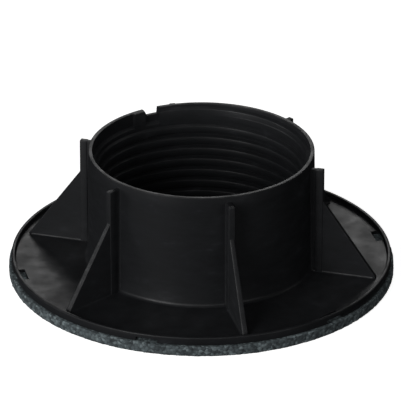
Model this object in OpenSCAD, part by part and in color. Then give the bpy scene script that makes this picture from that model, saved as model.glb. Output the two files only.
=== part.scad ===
// Raised floor pedestal base with its levelling pad.
//
// One plastic moulding: a round plate with an upturned lip, a collar with a
// coarse right-hand thread inside, gussets that brace the collar, and drain
// slots between them. A die-cut pad of bonded rubber crumb lies under the plate.
// The origin is the centre of the pad's underside, on the floor, with +Z up.
// Angles run anticlockwise from +X, seen from above. All sizes are in mm.

/* [Pad] */
// Diameter of the rubber pad
pad_d = 203.4; // [190:0.2:240]
// Thickness of the rubber pad
pad_t = 5.6; // [3:0.1:12]
// Worn corner round both faces of the pad
pad_edge = 0.5; // [0.2:0.1:1]

/* [Plate and lip] */
// Diameter of the plate, over its lip
plate_d = 200; // [185:1:230]
// Thickness of the plate
plate_t = 1.8; // [1.4:0.1:3]
// Height of the lip, from the underside of the plate
lip_h = 4.4; // [3.5:0.1:8]
// Thickness of the lip
lip_t = 2; // [1.5:0.1:3]
// Radius of the lip's rounded edges and of the fillet inside it
lip_r = 0.6; // [0.2:0.1:0.7]

/* [Collar] */
// Height of the rim above the underside of the plate
base_h = 63.5; // [50:0.5:90]
// Outside diameter of the collar at its rim
rim_d = 118.2; // [116:0.2:124]
// Thickness of the wall at the rim, above the ramp
rim_t = 2.3; // [1.5:0.1:3]
// Rounding of the rim's two edges
rim_r = 0.4; // [0.2:0.1:0.7]
// Draft of the collar's outside, in degrees
draft = 0.9; // [0.5:0.1:1.5]
// Radius of the fillet where the collar meets the plate
foot_r = 2; // [1:0.1:3]

/* [Thread] */
// Diameter of the bore, at the root of the thread
bore_d = 110; // [100:0.5:110]
// Rise of the thread in one turn
pitch = 6.3; // [5:0.1:8]
// Depth of the thread, from root to crest
thread_d = 1.8; // [1:0.1:2.4]
// Width of the thread's crest
crest_w = 2.7; // [2:0.1:3]
// Slope of the thread's two flanks, in degrees from the flat
flank = 30; // [15:1:35]
// Depth below the rim at which the thread starts
thread_start = 7.6; // [6:0.1:9]
// Turns over which the thread rises from nothing to its full depth
fade_turns = 1.6; // [0.5:0.1:2]
// Clear height below the last turn of the thread
thread_foot = 4; // [3:0.5:10]

/* [Ramp and notch] */
// Angle at which the ramp inside the rim starts, beside the notch
ramp_at = 113.7; // [100:0.1:130]
// Depth of the ramp below the rim at its start
ramp_d = 1; // [0.5:0.1:2]
// Width of the notch's floor, in degrees
notch_a = 6.6; // [5:0.1:10]
// Depth of the notch
notch_d = 3.4; // [2:0.1:4.5]
// Run of the notch's sloped side
notch_run = 2; // [1:0.1:3]
// Width of the stop block beside the notch, in degrees
stop_a = 7.5; // [5:0.1:12]

/* [Gussets] */
// Number of gussets round the collar, and of drain slots between them
gusset_n = 6; // [4:1:8]
// Angle of the first gusset
gusset_at = 43.7; // [30:0.1:60]
// Thickness of a gusset at the plate
gusset_t = 3; // [2:0.1:4]
// Draft of a gusset's faces, in degrees
gusset_draft = 0.3; // [0.1:0.1:0.6]
// Drop from the rim to the top of a gusset
gusset_drop = 3; // [2:0.1:8]
// Reach of a gusset's upright fin past the collar at the rim
fin_w = 7.1; // [5:0.1:9]
// Height of the knee, where the fin meets the slope
knee_h = 42.5; // [25:0.5:46]
// Gap between the toe of a gusset and the lip
toe_gap = 3; // [2:0.5:8]
// Height of a gusset's blunt toe
toe_h = 0.8; // [0.4:0.1:2]
// Width of the thicker post along the foot of the fin
post_w = 4; // [3:0.1:4.5]
// Extra thickness of the post, on each face of the gusset
post_t = 0.4; // [0.2:0.1:0.8]
// Radius of the fillets along a gusset's roots
root_r = 1; // [0.5:0.1:1.5]

/* [Drain slots] */
// Length of a drain slot, round the plate
slot_l = 11.6; // [8:0.2:20]
// Width of a drain slot, in from the lip
slot_w = 4; // [3:0.1:6]
// Height of the opening that a drain slot leaves through the lip
mouth_h = 2.3; // [2:0.1:2.8]

/* [Hidden] */
// Fineness of round walls, and steps in each quarter of a small fillet
$fn = 180;
round_n = 4;
// Steps of the helical faces in one turn
helix_n = 48;
// Overlap of solids that are joined, and overrun of cuts
lap = 0.4;
over = 1;
// Radii and heights that the moulding's features share
plate_r = plate_d / 2;
lip_in = plate_r - lip_t;
rim_out = rim_d / 2;
rim_in = rim_out - rim_t;
bore_r = bore_d / 2;
crest_r = bore_r - thread_d;
foot_out = rim_out + (base_h - plate_t) * tan(draft);
fin_out = rim_out + fin_w;
gusset_h = base_h - gusset_drop;
toe_out = lip_in - toe_gap;
// Angles of the notch and of the stop block, on from the ramp's start
notch_end = ramp_at + notch_a;
stop_from = notch_end + notch_run / rim_out * 180 / PI;
stop_to = stop_from + stop_a;

// Points of an arc, from angle a0 to angle a1
function arc(x, y, r, a0, a1, n = round_n) =
    [for (i = [0:n]) [x + r * cos(a0 + (a1 - a0) * i / n), y + r * sin(a0 + (a1 - a0) * i / n)]];

// A point at radius r, angle a and height z
function polar(r, a, z) = [r * cos(a), r * sin(a), z];

// Two triangles for each side of a tube of rings, each ring with n points
function tube_sides(rings, n) = [
    for (i = [0:rings - 2], j = [0:n - 1])
        let (a = i * n + j, b = i * n + (j + 1) % n, c = a + n, d = b + n)
            each [[a, c, b], [b, c, d]]
];

// A closed solid that runs clockwise round the axis through rings of points, each
// ring listed from its inner low corner outwards, up and back
module swept(rings) {
    n = len(rings[0]);
    last = (len(rings) - 1) * n;
    polyhedron(
        [for (ring = rings) each ring],
        concat(
            tube_sides(len(rings), n),
            [for (j = [1:n - 2]) [0, j, j + 1]],
            [for (j = [1:n - 2]) [last, last + j + 1, last + j]]
        ),
        convexity = 10
    );
}

// Section of the moulding that is turned: plate, lip and collar with a plain bore
module turned_section() {
    polygon(concat(
        [[bore_r, 0], [plate_r - lip_r, 0]],
        arc(plate_r - lip_r, lip_r, lip_r, -90, 0),
        arc(plate_r - lip_r, lip_h - lip_r, lip_r, 0, 90),
        arc(lip_in + lip_r, lip_h - lip_r, lip_r, 90, 180),
        arc(lip_in - lip_r, plate_t + lip_r, lip_r, 0, -90),
        arc(foot_out + foot_r, plate_t + foot_r, foot_r, 270, 180 + draft),
        arc(rim_out - rim_r, base_h - rim_r, rim_r, 0, 90),
        [[bore_r, base_h]]
    ));
}

// Space above the helical ramp, inside the wall at the rim
module ramp_cut() {
    turn = 360 - (stop_to - ramp_at);
    steps = ceil(turn / 360 * helix_n);
    inside = bore_r / 2;
    intersection() {
        cylinder(r = rim_in, h = base_h + over);
        union() {
            swept([for (i = [0:steps]) ramp_ring(ramp_at - turn * i / steps, turn * i / steps, inside)]);
            // Past the stop block the ramp goes on down to the notch
            swept([for (a = [stop_from, notch_end, ramp_at]) ramp_ring(a, 360 + ramp_at - a, inside)]);
        }
    }
}

// Section of the space above the ramp, at angle a, after the ramp has turned by t
function ramp_ring(a, t, inside) =
    let (low = base_h - ramp_d - pitch * t / 360)
        [polar(inside, a, low), polar(rim_out + over, a, low),
         polar(rim_out + over, a, base_h + over), polar(inside, a, base_h + over)];

// Notch through the rim, with one upright side and one sloped side
module notch_cut() {
    mid = (ramp_at + notch_end) / 2;
    half = rim_out * sin(notch_a / 2);
    slope = notch_run / notch_d;
    rotate(mid)
        translate([bore_r - over, 0, base_h])
            rotate([90, 0, 90])
                linear_extrude(rim_out - bore_r + 2 * over)
                    polygon([[-half, over], [-half, -notch_d], [half, -notch_d],
                             [half + slope * (notch_d + over), over]]);
}

// Ridge of the thread: it rises out of the bore's wall over the first turns, and
// its crest is cut back to a round wall
module thread() {
    tip = crest_w / 2 - lap * tan(flank);
    low = thread_foot + crest_w / 2 + thread_d * tan(flank);
    turns = (base_h - thread_start - low) / pitch;
    steps = ceil(turns * helix_n);
    difference() {
        swept([for (i = [0:steps])
            let (t = turns * i / steps, a = ramp_at - 360 * t,
                 z = base_h - thread_start - pitch * t,
                 d = (thread_d + 1.5 * lap) * min(1, t / fade_turns) - lap / 2,
                 root = tip + (d + lap) * tan(flank))
                [polar(bore_r - d, a, z - tip), polar(bore_r + lap, a, z - root),
                 polar(bore_r + lap, a, z + root), polar(bore_r - d, a, z + tip)]]);
        cylinder(r = crest_r, h = base_h);
    }
}

// Outline of a gusset, from inside the collar's wall to its toe
module gusset_outline() {
    inner = (rim_in + rim_out) / 2;
    polygon([[inner, plate_t / 2], [toe_out, plate_t / 2], [toe_out, plate_t + toe_h],
             [fin_out, knee_h], [fin_out, gusset_h], [inner, gusset_h]]);
}

// Bar along a gusset whose section is thinner at the top by the draft
module drafted_bar(extra = 0) {
    foot = gusset_t / 2 + extra;
    top = foot - base_h * tan(gusset_draft);
    rotate([90, 0, 90])
        linear_extrude(plate_r)
            polygon([[-foot, 0], [foot, 0], [top, base_h], [-top, base_h]]);
}

// A web that braces the collar, with a thicker post along its upright fin
module gusset() {
    intersection() {
        drafted_bar();
        rotate([90, 0, 0])
            linear_extrude(gusset_t * 2, center = true)
                gusset_outline();
    }
    intersection() {
        drafted_bar(post_t);
        rotate([90, 0, 0])
            linear_extrude(gusset_t * 2, center = true)
                intersection() {
                    gusset_outline();
                    translate([fin_out - post_w, 0])
                        square([post_w, gusset_h]);
                }
    }
}

// Concave corner that fills the root between two square faces
module root_section() {
    polygon(concat([[-lap, -lap], [root_r, -lap]], arc(root_r, root_r, root_r, 270, 180), [[-lap, root_r]]));
}

// Fillets between a gusset and the plate
module gusset_roots() {
    for (side = [0, 1])
        mirror([0, side, 0])
            translate([rim_out, gusset_t / 2, plate_t])
                rotate([90, 0, 90])
                    linear_extrude(toe_out - rim_out - toe_h)
                        root_section();
}

// Drain slot through the plate, and its mouth through the foot of the lip
module drain_cut() {
    translate([lip_in - slot_w, -slot_l / 2, -over])
        cube([slot_w, slot_l, plate_t + 2 * over]);
    translate([lip_in - over, -slot_l / 2, -over])
        cube([lip_t + 2 * over, slot_l, mouth_h + over]);
}

// The whole moulding, standing on the pad
module pedestal_base() {
    step = 360 / gusset_n;
    color("#1b1c1e")
        translate([0, 0, pad_t])
            union() {
                difference() {
                    union() {
                        rotate_extrude()
                            turned_section();
                        for (i = [0:gusset_n - 1])
                            rotate(gusset_at + i * step) {
                                gusset();
                                gusset_roots();
                            }
                    }
                    ramp_cut();
                    notch_cut();
                    for (i = [0:gusset_n - 1])
                        rotate(gusset_at + (i + 0.5) * step)
                            drain_cut();
                }
                thread();
            }
}

// The pad, a disc cut from a sheet of bonded rubber crumb
module rubber_pad() {
    color("#5c6264")
        union() {
            cylinder(d1 = pad_d - 2 * pad_edge, d2 = pad_d, h = pad_edge);
            translate([0, 0, pad_edge])
                cylinder(d = pad_d, h = pad_t - 2 * pad_edge);
            translate([0, 0, pad_t - pad_edge])
                cylinder(d1 = pad_d, d2 = pad_d - 2 * pad_edge, h = pad_edge);
        }
}

pedestal_base();
rubber_pad();
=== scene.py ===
# %% [markdown]
# # A raised floor pedestal base
#
# A raised floor, or a terrace of slabs, stands on plastic pedestals. This is the foot of
# one: a round plate with an upturned lip, and a collar with a coarse thread inside, into
# which a tube screws to set the height. Six gussets brace the collar, six slots drain
# the plate, and a pad of rubber crumb beds it on the floor. The base is one black
# moulding, so its forms flow into each other through small fillets, and those fillets
# and rounded edges are what catches the light on a dark part. Most of this lesson is
# about getting them right.
#
# We start by loading the part's fixed frame, and by keeping the size of its box.

# %% Load the frame
import math

import bmesh
import bpy
from mathutils import Matrix, Vector, noise


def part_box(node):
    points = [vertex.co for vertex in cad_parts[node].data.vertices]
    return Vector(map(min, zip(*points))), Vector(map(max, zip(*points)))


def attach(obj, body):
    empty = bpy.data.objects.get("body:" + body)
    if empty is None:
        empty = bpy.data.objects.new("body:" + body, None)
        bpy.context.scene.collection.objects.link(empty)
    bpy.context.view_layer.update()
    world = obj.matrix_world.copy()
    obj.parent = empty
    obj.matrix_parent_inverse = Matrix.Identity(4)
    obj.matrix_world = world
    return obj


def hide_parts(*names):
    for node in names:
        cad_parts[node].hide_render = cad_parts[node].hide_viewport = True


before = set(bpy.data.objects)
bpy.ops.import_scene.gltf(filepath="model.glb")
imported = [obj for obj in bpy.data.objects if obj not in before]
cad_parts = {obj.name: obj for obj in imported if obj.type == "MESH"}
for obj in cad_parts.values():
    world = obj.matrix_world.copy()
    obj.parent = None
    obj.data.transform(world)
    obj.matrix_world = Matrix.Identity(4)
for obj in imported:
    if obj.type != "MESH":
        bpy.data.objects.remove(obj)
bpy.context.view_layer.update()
base_low, base_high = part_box("pedestal_base")
pad_low, pad_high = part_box("rubber_pad")

# %% [markdown]
# ## Sizes
#
# Moulded parts are drawn in millimetres, so the sizes here are too, and one factor
# turns them into Blender's metres. Heights are counted from the underside of the plate.
# What the frame can tell us, such as the plate's radius and the height of the rim, is
# read from it and not typed again.

# %% Sizes of the moulding
MM = 0.001
FLOOR_OF_BASE = base_low[2] / MM
PLATE_R = (base_high[0] - base_low[0]) / 2 / MM
RIM_Z = (base_high[2] - base_low[2]) / MM
PLATE_T = 1.8
LIP_H, LIP_T, LIP_R = 4.4, 2.0, 0.6
RIM_R, RIM_IN, EDGE_R = 59.1, 56.8, 0.4
BORE_R = 55.0
DRAFT = math.tan(math.radians(0.9))
FOOT_R = 2.0
PITCH = 6.3
print(f"plate radius {PLATE_R:.1f} mm, rim at {RIM_Z:.1f} mm, base stands at {FLOOR_OF_BASE:.1f} mm")


def smooth_step(x, low, high):
    """0 below low, 1 above high, and an easy curve between them."""
    t = min(1.0, max(0.0, (x - low) / (high - low)))
    return t * t * (3 - 2 * t)


def arc(x, y, r, start, end, steps):
    """Points of an arc in a section, by its centre, radius and two angles in degrees."""
    out = []
    for i in range(steps + 1):
        a = math.radians(start + (end - start) * i / steps)
        out.append((x + r * math.cos(a), y + r * math.sin(a)))
    return out


# %% [markdown]
# ## From a bmesh to a finished piece
#
# Each piece ends the same way. Vertices that meet are merged, the faces are turned to
# point outwards and millimetres become metres; the pieces of the base have been lifted
# onto the pad just before. Edges that turn sharply are marked, so the rest can be shaded
# smoothly without smearing the light round a corner.

# %% Finish a piece
def finish_piece(bm, name, material, node, sharp=32.0, merge=0.002):
    """Close a bmesh that was made in millimetres into an object of the scene."""
    bmesh.ops.remove_doubles(bm, verts=bm.verts, dist=merge)
    bmesh.ops.recalc_face_normals(bm, faces=bm.faces)
    bmesh.ops.scale(bm, vec=(MM, MM, MM), verts=bm.verts)
    for face in bm.faces:
        face.smooth = True
    for edge in bm.edges:
        if len(edge.link_faces) == 2:
            edge.smooth = math.degrees(edge.calc_face_angle(0.0)) < sharp
    mesh = bpy.data.meshes.new(name)
    bm.to_mesh(mesh)
    open_edges = sum(1 for e in bm.edges if len(e.link_faces) != 2)
    bm.free()
    piece = bpy.data.objects.new(name, mesh)
    bpy.context.scene.collection.objects.link(piece)
    mesh.materials.append(material)
    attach(piece, "root")
    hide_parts(node)
    print(f"{name}: {len(mesh.polygons)} faces, {open_edges} open edges")
    return piece


# %% [markdown]
# ## Nodes and colours
#
# A material is a small network of nodes. One helper adds a node, gives it its settings
# and joins it to the nodes before it. Colours are written as they look on a screen, and
# another helper turns them into the linear values that light needs.

# %% Helpers for materials
def linear(hex_colour):
    """An sRGB hex colour as the linear colour that a shader needs."""
    out = []
    for i in (1, 3, 5):
        c = int(hex_colour[i:i + 2], 16) / 255
        out.append(c / 12.92 if c <= 0.04045 else ((c + 0.055) / 1.055) ** 2.4)
    return (*out, 1.0)


def add_node(tree, kind, settings=None, inputs=None):
    """Add a node, with its settings, and values or links for its inputs."""
    node = tree.nodes.new(kind)
    for key, value in (settings or {}).items():
        setattr(node, key, value)
    for key, value in (inputs or {}).items():
        if isinstance(value, bpy.types.NodeSocket):
            tree.links.new(value, node.inputs[key])
        else:
            node.inputs[key].default_value = value
    return node


def new_material(name):
    """An empty material, with its tree and its output."""
    material = bpy.data.materials.new(name)
    material.use_nodes = True
    tree = material.node_tree
    tree.nodes.clear()
    out = add_node(tree, "ShaderNodeOutputMaterial")
    where = add_node(tree, "ShaderNodeTexCoord")
    return material, tree, out, where.outputs["Object"]


def ramp(tree, factor, stops):
    """A colour ramp, from a list of places and linear colours."""
    node = add_node(tree, "ShaderNodeValToRGB", inputs={"Fac": factor})
    points = node.color_ramp.elements
    while len(points) < len(stops):
        points.new(0.5)
    for point, (place, colour) in zip(points, stops):
        point.position, point.color = place, colour
    return node


# %% [markdown]
# ## Moulded polypropylene
#
# The base is injection-moulded recycled polypropylene, dyed black. Its skin is neither
# gloss nor matte: the mould was lightly blasted, so it spreads a highlight into a soft
# sheen. Melt that flowed round the collar leaves faint streaks that are a little
# smoother or duller than their surroundings, and the smoother streaks also carry a
# painted sheen, lighter in their colour.

# %% Black plastic
def moulded_polypropylene():
    """Black polypropylene with flow marks, painted sheen in their lighter colour, and a fine blasted skin."""
    material, tree, out, where = new_material("moulded_polypropylene")
    flow = add_node(tree, "ShaderNodeMapping", {"vector_type": "POINT"},
                    {"Vector": where, "Scale": (1.0, 1.0, 2.6)})
    # flow marks, and the sheen painted into them, are about 12 mm long and 5 mm high
    flow_marks_and_painted_sheen = add_node(tree, "ShaderNodeTexNoise", {"noise_dimensions": "3D"},
                     {"Vector": flow.outputs[0], "Scale": 1 / (12 * MM), "Detail": 3.0, "Roughness": 0.6})
    # painted sheen: the smoother streaks are made lighter in colour, while the roughness below is the real change in
    # the skin
    colour = ramp(tree, flow_marks_and_painted_sheen.outputs["Fac"], [
        (0.35, linear("#17181a")), (0.62, linear("#1f2022")), (0.78, linear("#2a2b2e"))])
    rough = add_node(tree, "ShaderNodeMapRange", {},
                     {"Value": flow_marks_and_painted_sheen.outputs["Fac"], "From Min": 0.3, "From Max": 0.7,
                      "To Min": 0.52, "To Max": 0.36})
    # the blasted skin has a grain of about 0.4 mm
    skin = add_node(tree, "ShaderNodeTexNoise", {},
                    {"Vector": where, "Scale": 1 / (0.4 * MM), "Detail": 2.0})
    bump = add_node(tree, "ShaderNodeBump", {},
                    {"Height": skin.outputs["Fac"], "Strength": 0.12, "Distance": 0.05 * MM})
    shader = add_node(tree, "ShaderNodeBsdfPrincipled", {},
                      {"Base Color": colour.outputs["Color"], "Roughness": rough.outputs["Result"],
                       "IOR": 1.49, "Specular IOR Level": 0.28, "Normal": bump.outputs["Normal"]})
    tree.links.new(shader.outputs["BSDF"], out.inputs["Surface"])
    return material


PLASTIC = moulded_polypropylene()

# %% [markdown]
# ## Bonded rubber crumb
#
# The pad is cut from sheet that is pressed from granules of old tyre and a binder. The
# granules are 1 to 2 mm across, each a slightly different grey, with darker gaps where
# the binder lies, and the cut edge is rough where the knife tore some of them out.

# %% Rubber crumb
def bonded_rubber_crumb():
    """Granules of rubber in a binder: speckled greys and a pitted surface."""
    material, tree, out, where = new_material("bonded_rubber_crumb")
    warp = add_node(tree, "ShaderNodeTexNoise", {},
                    {"Vector": where, "Scale": 1 / (3 * MM), "Detail": 2.0})
    bent = add_node(tree, "ShaderNodeVectorMath", {"operation": "MULTIPLY_ADD"},
                    {0: warp.outputs["Color"], 1: (0.9 * MM,) * 3, 2: where})
    grains = add_node(tree, "ShaderNodeTexVoronoi", {"feature": "F1"},
                      {"Vector": bent.outputs[0], "Scale": 1 / (1.6 * MM)})
    split = add_node(tree, "ShaderNodeSeparateColor", {}, {"Color": grains.outputs["Color"]})
    tone = ramp(tree, split.outputs["Red"], [
        (0.0, linear("#3a4144")), (0.35, linear("#4a5255")), (0.7, linear("#5c6669")), (0.93, linear("#778285"))])
    gaps = add_node(tree, "ShaderNodeMapRange", {},
                    {"Value": grains.outputs["Distance"], "From Min": 0.35, "From Max": 0.8,
                     "To Min": 1.0, "To Max": 0.62})
    colour = add_node(tree, "ShaderNodeMix", {"data_type": "RGBA", "blend_type": "MULTIPLY"},
                      {"Factor": 1.0, "A": tone.outputs["Color"], "B": gaps.outputs["Result"]})
    bump = add_node(tree, "ShaderNodeBump", {"invert": True},
                    {"Height": grains.outputs["Distance"], "Strength": 0.7, "Distance": 0.5 * MM})
    shader = add_node(tree, "ShaderNodeBsdfPrincipled", {},
                      {"Base Color": colour.outputs["Result"], "Roughness": 0.85,
                       "IOR": 1.52, "Specular IOR Level": 0.35, "Normal": bump.outputs["Normal"]})
    tree.links.new(shader.outputs["BSDF"], out.inputs["Surface"])
    return material


CRUMB = bonded_rubber_crumb()

# %% [markdown]
# ## Plate, lip and collar
#
# A turned shape is a section that is spun round an axis. The section here runs from the
# bore, out under the plate, round the lip, back over the plate, up the collar, over the
# rim and down to the ramp and the bore again. Every corner has its small arc.
#
# The rim isn't the same all the way round: a ramp winds down inside it, a notch is cut
# through it, and a stop block stands beside the notch. So each point of the section
# carries a number that says what it belongs to, spinning copies that number to every
# column, and afterwards the points of the rim and of the ramp are lowered by an amount
# that depends on their angle.

# %% Section of the moulding
FIXED, RIM, RAMP = 0, 1, 2


def moulding_section():
    """Points of the section, each with its radius, height and kind, in millimetres."""
    foot = RIM_R + (RIM_Z - PLATE_T) * DRAFT
    points = [(BORE_R, 0.3, FIXED), (BORE_R + 0.3, 0.0, FIXED)]
    points += [(r, 0.0, FIXED) for r in (70, 84, 93)]
    lip_in = PLATE_R - LIP_T
    lip = arc(PLATE_R - LIP_R, LIP_R, LIP_R, -90, 0, 4)
    lip += arc(PLATE_R - LIP_R, LIP_H - LIP_R, LIP_R, 0, 90, 4)
    lip += arc(lip_in + LIP_R, LIP_H - LIP_R, LIP_R, 90, 180, 4)
    lip += arc(lip_in - LIP_R, PLATE_T + LIP_R, LIP_R, 0, -90, 4)
    points += [(r, z, FIXED) for r, z in lip]
    points += [(r, PLATE_T, FIXED) for r in (93, 84, 72)]
    points += [(r, z, FIXED) for r, z in arc(foot + FOOT_R, PLATE_T + FOOT_R, FOOT_R, 270, 180.9, 6)]
    for z in (12, 24, 36, 48, 57):
        points.append((RIM_R + (RIM_Z - z) * DRAFT, z, FIXED))
    points += [(r, z, RIM) for r, z in arc(RIM_R - EDGE_R, RIM_Z - EDGE_R, EDGE_R, 0, 90, 4)]
    points += [(r, z, RIM) for r, z in arc(RIM_IN + EDGE_R, RIM_Z - EDGE_R, EDGE_R, 90, 180, 4)]
    points += [(RIM_IN, RIM_Z, RAMP), (BORE_R + 0.35, RIM_Z, RAMP), (BORE_R + 0.1, RIM_Z - 0.1, RAMP),
               (BORE_R, RIM_Z - 0.35, RAMP)]
    points += [(BORE_R, z, FIXED) for z in (54, 42, 30, 18, 8)]
    return points


print("section points:", len(moulding_section()))

# %% [markdown]
# The notch begins at one angle with an upright side and ends with a sloping one, and
# the stop block follows it. From the notch's upright side the ramp falls clockwise by
# one pitch of the thread in a turn, until it meets the back of the stop block.

# %% Heights round the rim
RAMP_AT, NOTCH_END, SLOPE_END, STOP_END = 113.7, 120.3, 122.3, 129.8
NOTCH_D, RAMP_D, RAMP_LEAN = 3.4, 1.0, math.tan(math.radians(28))


def rim_drop(angle):
    """How far the rim is lowered at an angle between RAMP_AT and a turn past it."""
    into = smooth_step(angle, RAMP_AT, RAMP_AT + 0.35)
    out = min(1.0, max(0.0, (angle - NOTCH_END) / (SLOPE_END - NOTCH_END)))
    return NOTCH_D * into * (1 - out)


def ramp_drop(angle):
    """How far the ramp is lowered at an angle between RAMP_AT and a turn past it."""
    fall = RAMP_D + PITCH * (RAMP_AT + 360 - angle) / 360
    if angle < SLOPE_END + 0.5:
        start = smooth_step(angle, RAMP_AT, RAMP_AT + 0.35)
        block = smooth_step(angle, SLOPE_END, SLOPE_END + 0.35)
        return (RAMP_D + (fall - RAMP_D) * start) * (1 - block)
    return fall * smooth_step(angle, STOP_END - 0.35, STOP_END)


# %% Spin the moulding
def turned_moulding():
    """Plate, lip and collar as one closed ring, with the ramp, notch and stop block."""
    bm = bmesh.new()
    kind = bm.verts.layers.int.new("kind")
    angles = [RAMP_AT, RAMP_AT + 0.12, RAMP_AT + 0.24, RAMP_AT + 0.36, NOTCH_END, SLOPE_END, SLOPE_END + 0.12,
              SLOPE_END + 0.24, SLOPE_END + 0.36, STOP_END - 0.36, STOP_END - 0.24, STOP_END - 0.12, STOP_END,
              RAMP_AT + 360]
    ring = []
    for r, z, what in moulding_section():
        vert = bm.verts.new((r, 0, z))
        vert[kind] = what
        ring.append(vert)
    geom = ring + [bm.edges.new((a, b)) for a, b in zip(ring, ring[1:] + ring[:1])]
    bmesh.ops.rotate(bm, verts=ring, cent=(0, 0, 0), matrix=Matrix.Rotation(math.radians(RAMP_AT), 3, "Z"))
    for start, end in zip(angles, angles[1:]):
        steps = max(1, math.ceil(end - start))
        spun = bmesh.ops.spin(bm, geom=geom, cent=(0, 0, 0), axis=(0, 0, 1), dvec=(0, 0, 0),
                              angle=math.radians(end - start), steps=steps, use_merge=False,
                              use_normal_flip=False, use_duplicate=False)
        geom = spun["geom_last"]
    bmesh.ops.remove_doubles(bm, verts=bm.verts, dist=0.002)
    for vert in bm.verts:
        angle = (math.degrees(math.atan2(vert.co.y, vert.co.x)) - RAMP_AT + 0.001) % 360 + RAMP_AT
        drop = rim_drop(angle)
        fall = ramp_drop(angle)
        if vert[kind] == RIM:
            # over the stop block the inner corner of the rim is filled level
            if fall < EDGE_R and vert.co.xy.length < RIM_IN + EDGE_R:
                vert.co.z = RIM_Z - fall
            vert.co.z -= drop
        elif vert[kind] == RAMP:
            lean = (RIM_IN - vert.co.xy.length) * RAMP_LEAN * min(1.0, fall / RAMP_D)
            vert.co.z -= max(fall + lean, drop)
    return bm


base_bm = turned_moulding()
print("turned faces:", len(base_bm.faces))

# %% [markdown]
# ## Drain slots
#
# Water that gets under the floor leaves through six slots, each with a mouth through
# the foot of the lip. A slot is cut by a Boolean modifier with two small blocks as
# its tool, and the modifier is then applied, so no tool is left in the scene.

# %% Slot cutter and the cut
GUSSETS, GUSSET_AT = 6, 43.7
SLOT_L, SLOT_W, MOUTH_H = 11.6, 4.0, 2.3


def slot_cutters():
    """Six sets of two blocks: the slot through the plate and its mouth through the lip."""
    bm = bmesh.new()
    lip_in = PLATE_R - LIP_T
    for low, high, top in ((lip_in - SLOT_W, lip_in + 0.01, PLATE_T + 1.5), (lip_in - 1, PLATE_R + 1, MOUTH_H)):
        made = bmesh.ops.create_cube(bm, size=1.0)["verts"]
        bmesh.ops.scale(bm, vec=(high - low, SLOT_L, top + 2), verts=made)
        bmesh.ops.translate(bm, vec=((low + high) / 2, 0, (top - 2) / 2), verts=made)
    bmesh.ops.rotate(bm, verts=bm.verts, cent=(0, 0, 0),
                     matrix=Matrix.Rotation(math.radians(GUSSET_AT + 180 / GUSSETS), 3, "Z"))
    bmesh.ops.spin(bm, geom=bm.verts[:] + bm.edges[:] + bm.faces[:], cent=(0, 0, 0), axis=(0, 0, 1),
                   dvec=(0, 0, 0), angle=math.radians(360 * (GUSSETS - 1) / GUSSETS), steps=GUSSETS - 1,
                   use_merge=False, use_normal_flip=False, use_duplicate=True)
    return bm


def cut_with(bm, tool_bm):
    """Cut one bmesh with another, and give back the result as a bmesh."""
    objects = []
    for source in (bm, tool_bm):
        bmesh.ops.recalc_face_normals(source, faces=source.faces)
        mesh = bpy.data.meshes.new("cutting")
        source.to_mesh(mesh)
        source.free()
        objects.append(bpy.data.objects.new("cutting", mesh))
        bpy.context.scene.collection.objects.link(objects[-1])
    body, tool = objects
    cut = body.modifiers.new("cut", "BOOLEAN")
    cut.operation, cut.solver, cut.object, cut.use_self = "DIFFERENCE", "EXACT", tool, True
    ready = body.evaluated_get(bpy.context.evaluated_depsgraph_get())
    out = bmesh.new()
    out.from_mesh(ready.to_mesh())
    ready.to_mesh_clear()
    for thing in objects:
        mesh = thing.data
        bpy.data.objects.remove(thing)
        bpy.data.meshes.remove(mesh)
    return out


base_bm = cut_with(base_bm, slot_cutters())
bmesh.ops.translate(base_bm, vec=(0, 0, FLOOR_OF_BASE), verts=base_bm.verts)
plate_and_collar = finish_piece(base_bm, "plate_and_collar", PLASTIC, "pedestal_base")

# %% [markdown]
# ## The thread
#
# A thread is the same idea as the collar, with one difference: while the section spins,
# it also sinks by a little at every step. The spin operator takes that as its dvec. The
# ridge has a wide flat crest with rounded corners, and it rises out of the bore over the
# first turns, so that the tube's own thread can find its way in.

# %% Spin the thread
THREAD_D, CREST_W, FLANK = 1.8, 3.7, math.tan(math.radians(25))
THREAD_START, THREAD_FOOT, FADE_TURNS, THREAD_STEPS = 6.9, 4.0, 1.31, 120


def thread_ridge():
    """The ridge of the thread, as a screw of one section."""
    bm = bmesh.new()
    deep, crest = BORE_R + 0.35, BORE_R - THREAD_D
    half, corner = CREST_W / 2, 0.3
    upper = [(deep, half + (THREAD_D + 0.35) * FLANK), (crest + corner + 0.1, half + (corner + 0.1) * FLANK),
             (crest + 0.12, half - 0.02), (crest, half - 0.25)]
    section = upper + [(r, -z) for r, z in reversed(upper)]
    turns = (RIM_Z - THREAD_START - THREAD_FOOT - half - THREAD_D * FLANK) / PITCH
    steps = round(turns * THREAD_STEPS)
    ring = [bm.verts.new((r, 0, RIM_Z - THREAD_START + z)) for r, z in section]
    edges = [bm.edges.new((a, b)) for a, b in zip(ring, ring[1:] + ring[:1])]
    bmesh.ops.rotate(bm, verts=ring, cent=(0, 0, 0), matrix=Matrix.Rotation(math.radians(RAMP_AT), 3, "Z"))
    bmesh.ops.spin(bm, geom=ring + edges, cent=(0, 0, 0), axis=(0, 0, 1), dvec=(0, 0, -PITCH * turns / steps),
                   angle=-2 * math.pi * turns, steps=steps, use_merge=False, use_normal_flip=False,
                   use_duplicate=False)
    for vert in bm.verts:
        part = ((RAMP_AT - math.degrees(math.atan2(vert.co.y, vert.co.x))) % 360) / 360
        whole = round((RIM_Z - THREAD_START - vert.co.z) / PITCH - part)
        risen = min(1.0, max(0.0, (whole + part) / FADE_TURNS))
        r = vert.co.xy.length
        vert.co.xy *= (deep - (deep - r) * (0.1 + 0.9 * risen)) / r
    bmesh.ops.holes_fill(bm, edges=bm.edges)
    return bm


thread_bm = thread_ridge()
bmesh.ops.translate(thread_bm, vec=(0, 0, FLOOR_OF_BASE), verts=thread_bm.verts)
socket_thread = finish_piece(thread_bm, "socket_thread", PLASTIC, "pedestal_base", sharp=60)

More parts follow.
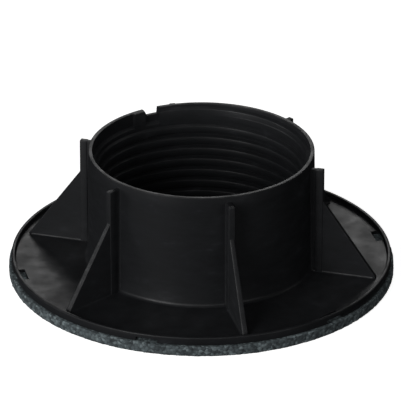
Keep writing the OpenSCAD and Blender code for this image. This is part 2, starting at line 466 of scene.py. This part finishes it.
# %% [markdown]
# ## Gussets
#
# A gusset is a flat web: its outline is drawn as one face, pulled out to its thickness,
# thinned towards the top so that it leaves the mould, and bevelled along every edge
# that shows. A thicker post runs up the foot of its fin. The first gusset is then
# copied round the collar by a spin that duplicates.

# %% Web and post
GUSSET_T, GUSSET_DRAFT = 3.0, math.tan(math.radians(0.3))
FIN_R, FIN_TOP, KNEE_Z, TOE_R, TOE_H = RIM_R + 7.1, RIM_Z - 3.0, 42.5, PLATE_R - LIP_T - 3.0, 0.8
POST_W, POST_T = 4.0, 0.4
ROOT_IN = (RIM_R + RIM_IN) / 2


def web(bm, outline, thickness, round_off, keep_sharp):
    """A plate of even thickness from an outline, thinner towards the top, with rounded edges."""
    face = bm.faces.new([bm.verts.new((r, -0.5, z)) for r, z in outline])
    pulled = bmesh.ops.extrude_face_region(bm, geom=[face])["geom"]
    far = [v for v in pulled if isinstance(v, bmesh.types.BMVert)]
    bmesh.ops.translate(bm, vec=(0, 1, 0), verts=far)
    verts = list(face.verts) + far
    for vert in verts:
        vert.co.y *= thickness - 2 * vert.co.z * GUSSET_DRAFT
    edges = {e for v in verts for e in v.link_edges}
    shown = [e for e in edges if not all(keep_sharp(v.co) for v in e.verts)]
    bmesh.ops.bevel(bm, geom=shown, offset=round_off, offset_type="OFFSET", segments=3, profile=0.5,
                    affect="EDGES", clamp_overlap=True, material=-1)


def gussets():
    """One web with its post."""
    bm = bmesh.new()

    def hidden(co):
        return co.x < ROOT_IN + 0.01 or co.z < PLATE_T
    web(bm, [(ROOT_IN, PLATE_T / 2), (TOE_R, PLATE_T / 2), (TOE_R, PLATE_T + TOE_H), (FIN_R, KNEE_Z),
             (FIN_R, FIN_TOP), (ROOT_IN, FIN_TOP)], GUSSET_T, 0.45, hidden)
    post = bmesh.new()
    web(post, [(FIN_R - POST_W, PLATE_T / 2), (FIN_R - 0.02, PLATE_T / 2), (FIN_R - 0.02, FIN_TOP - 0.02),
               (FIN_R - POST_W, FIN_TOP - 0.02)], GUSSET_T + 2 * POST_T, 0.3, hidden)
    mesh = bpy.data.meshes.new("post")
    post.to_mesh(mesh)
    post.free()
    bm.from_mesh(mesh)
    bpy.data.meshes.remove(mesh)
    return bm


# %% [markdown]
# Where a web meets the plate and the collar, the mould has a small radius. That fillet
# is a strip with a hollow face: its section is an arc and the corner behind it, and it
# is pulled along the root. Its two plain faces lie inside the other solids.

# %% Fillets at the roots
ROOT_R = 1.0


def fillet(bm, start, end, side, up):
    """A hollow strip of radius ROOT_R from start to end, between directions side and up."""
    start, end, side, up = Vector(start), Vector(end), Vector(side), Vector(up)
    section = [(ROOT_R * (1 - math.sin(math.radians(a))), ROOT_R * (1 - math.cos(math.radians(a))))
               for a in range(0, 91, 15)]
    section += [(-0.3, ROOT_R), (-0.3, -0.3), (ROOT_R, -0.3)]
    face = bm.faces.new([bm.verts.new(start + side * x + up * y) for x, y in section])
    pulled = bmesh.ops.extrude_face_region(bm, geom=[face])["geom"]
    bmesh.ops.translate(bm, vec=end - start, verts=[v for v in pulled if isinstance(v, bmesh.types.BMVert)])


def all_gussets():
    """One gusset with its fillets, copied round the collar."""
    bm = gussets()
    foot = RIM_R + (RIM_Z - PLATE_T) * DRAFT
    half_low = GUSSET_T / 2 - PLATE_T * GUSSET_DRAFT
    half_top = GUSSET_T / 2 - FIN_TOP * GUSSET_DRAFT
    for way in (-1, 1):
        fillet(bm, (foot - 0.5, way * half_low, PLATE_T), (TOE_R - 1.5, way * half_low, PLATE_T),
               (0, way, 0), (0, 0, 1))
        fillet(bm, (foot - 0.02, way * half_low, PLATE_T), (RIM_R + 3 * DRAFT - 0.02, way * half_top, FIN_TOP - 0.3),
               (0, way, 0), (1, 0, 0))
    bmesh.ops.rotate(bm, verts=bm.verts, cent=(0, 0, 0), matrix=Matrix.Rotation(math.radians(GUSSET_AT), 3, "Z"))
    bmesh.ops.spin(bm, geom=bm.verts[:] + bm.edges[:] + bm.faces[:], cent=(0, 0, 0), axis=(0, 0, 1),
                   dvec=(0, 0, 0), angle=math.radians(360 * (GUSSETS - 1) / GUSSETS), steps=GUSSETS - 1,
                   use_merge=False, use_normal_flip=False, use_duplicate=True)
    bmesh.ops.translate(bm, vec=(0, 0, FLOOR_OF_BASE), verts=bm.verts)
    return bm


collar_gussets = finish_piece(all_gussets(), "collar_gussets", PLASTIC, "pedestal_base", sharp=40,
                              merge=0.00001)

# %% [markdown]
# ## The pad
#
# The pad is a disc of crumb. It is spun from a fine section, so that there are enough
# points round its edge to push them about: a smooth noise of 3 mm moves whole lumps,
# and one of 1.2 mm moves single granules. Points only ever move inwards, so the pad
# keeps inside its size.

# %% Crumb disc
PAD_R = (pad_high[0] - pad_low[0]) / 2 / MM
PAD_T = (pad_high[2] - pad_low[2]) / MM


def crumb_disc():
    """A disc with a rough cut edge."""
    bm = bmesh.new()
    corner = 0.5
    section = [(0.0, 0.0), (30.0, 0.0), (60.0, 0.0), (85.0, 0.0), (95.0, 0.0), (98.0, 0.0), (99.6, 0.0), (100.6, 0.0)]
    section += arc(PAD_R - corner, corner, corner, -90, 0, 2)
    section += [(PAD_R, PAD_T * i / 9) for i in range(2, 8)]
    section += arc(PAD_R - corner, PAD_T - corner, corner, 0, 90, 2)
    section += [(r, PAD_T) for r in (100.6, 99.6, 98.0, 95.0, 85.0, 60.0, 30.0, 0.0)]
    ring = [bm.verts.new((r, 0, z)) for r, z in section]
    edges = [bm.edges.new((a, b)) for a, b in zip(ring, ring[1:])]
    bmesh.ops.spin(bm, geom=ring + edges, cent=(0, 0, 0), axis=(0, 0, 1), dvec=(0, 0, 0), angle=2 * math.pi,
                   steps=900, use_merge=True, use_normal_flip=False, use_duplicate=False)
    bmesh.ops.remove_doubles(bm, verts=bm.verts, dist=0.002)
    for vert in bm.verts:
        r = vert.co.xy.length
        near = smooth_step(r, PAD_R - 2.5, PAD_R - 0.4)
        if near <= 0:
            continue
        lump = 0.5 + 0.5 * noise.noise(vert.co / 3.0)
        grain = 0.5 + 0.5 * noise.noise(vert.co / 1.2 + Vector((7, 3, 1)))
        dent = min(1.0, max(0.0, 0.45 * lump + 0.55 * grain))
        vert.co.xy *= (r - 0.75 * near * dent) / r
        vert.co.z += (PAD_T / 2 - vert.co.z) / (PAD_T / 2) * 0.25 * near * dent
    return bm


crumb_pad = finish_piece(crumb_disc(), "crumb_pad", CRUMB, "rubber_pad", sharp=80)

# %% [markdown]
# ## Floor, light and camera
#
# The part stands on a plain white floor that glows like a light table and fills the
# view. On black plastic a white surround shows as a grey film over everything, so the
# floor is kept out of the part's reflections and of its diffuse light, and the sky is
# almost dark. Dim soft panels then draw the shape: the main one from the front left,
# low ones that reach the upright walls and hardly the plate, and weak ones from the
# front, from above, from the right and from the back, where one lights the rim.

# %% Floor
def pale_floor():
    """A large plain floor."""
    material, tree, out, where = new_material("pale_floor")
    shader = add_node(tree, "ShaderNodeBsdfPrincipled", {},
                      {"Base Color": linear("#f4f4f4"), "Roughness": 0.9, "Specular IOR Level": 0.1,
                       "Emission Color": (1, 1, 1, 1), "Emission Strength": 0.85})
    tree.links.new(shader.outputs["BSDF"], out.inputs["Surface"])
    bm = bmesh.new()
    bmesh.ops.create_grid(bm, x_segments=1, y_segments=1, size=6.0)
    mesh = bpy.data.meshes.new("pale_floor")
    bm.to_mesh(mesh)
    bm.free()
    floor = bpy.data.objects.new("pale_floor", mesh)
    mesh.materials.append(material)
    bpy.context.scene.collection.objects.link(floor)
    floor.visible_diffuse = floor.visible_glossy = False
    return floor


pale_floor()


# %% Lights
PANEL_FAR, PANEL_SIZE = 1.8, 0.6


def soft_panel(name, around, up, power):
    """A square soft light, by its angle around the part, its angle up and its watts."""
    light = bpy.data.lights.new(name, "AREA")
    light.shape, light.size, light.energy = "SQUARE", PANEL_SIZE, power
    lamp = bpy.data.objects.new(name, light)
    bpy.context.scene.collection.objects.link(lamp)
    aim = Vector((0, 0, 0.03))
    flat, rise = math.radians(around), math.radians(up)
    way = Vector((math.cos(flat) * math.cos(rise), math.sin(flat) * math.cos(rise), math.sin(rise)))
    lamp.location = aim + PANEL_FAR * way
    lamp.rotation_euler = (-way).to_track_quat("-Z", "Y").to_euler()
    return lamp


for name, around, up, power in (("front_left_panel", 235, 30, 8), ("low_front_left_panel", 228, 12, 10),
                                ("low_left_panel", 182, 12, 6), ("front_panel", 275, 25, 3),
                                ("low_right_panel", 308, 12, 3), ("top_panel", 0, 90, 1.6),
                                ("back_panel", 90, 26, 3), ("right_panel", 22, 35, 1.2)):
    soft_panel(name, around, up, power)

world = bpy.data.worlds.new("dim_sky")
bpy.context.scene.world = world
world.use_nodes = True
sky = world.node_tree.nodes["Background"].inputs
sky["Color"].default_value = (1, 1, 1, 1)
sky["Strength"].default_value = 0.01

# %% Camera
CAMERA_UP, CAMERA_FAR, CAMERA_LENS = 25.95, 2.498, 408.0
camera_data = bpy.data.cameras.new("camera")
camera_data.sensor_width, camera_data.lens = 36.0, CAMERA_LENS
camera_data.clip_end = 20
camera = bpy.data.objects.new("camera", camera_data)
bpy.context.scene.collection.objects.link(camera)
aim = Vector((-0.00018, 0, 0.0338))
tilt = math.radians(CAMERA_UP)
camera.location = aim + CAMERA_FAR * Vector((0, -math.cos(tilt), math.sin(tilt)))
camera.rotation_euler = (math.radians(90 - CAMERA_UP), 0, 0)
bpy.context.scene.camera = camera
bpy.context.scene.view_settings.view_transform = "Standard"
print("camera at", [round(v, 4) for v in camera.location])
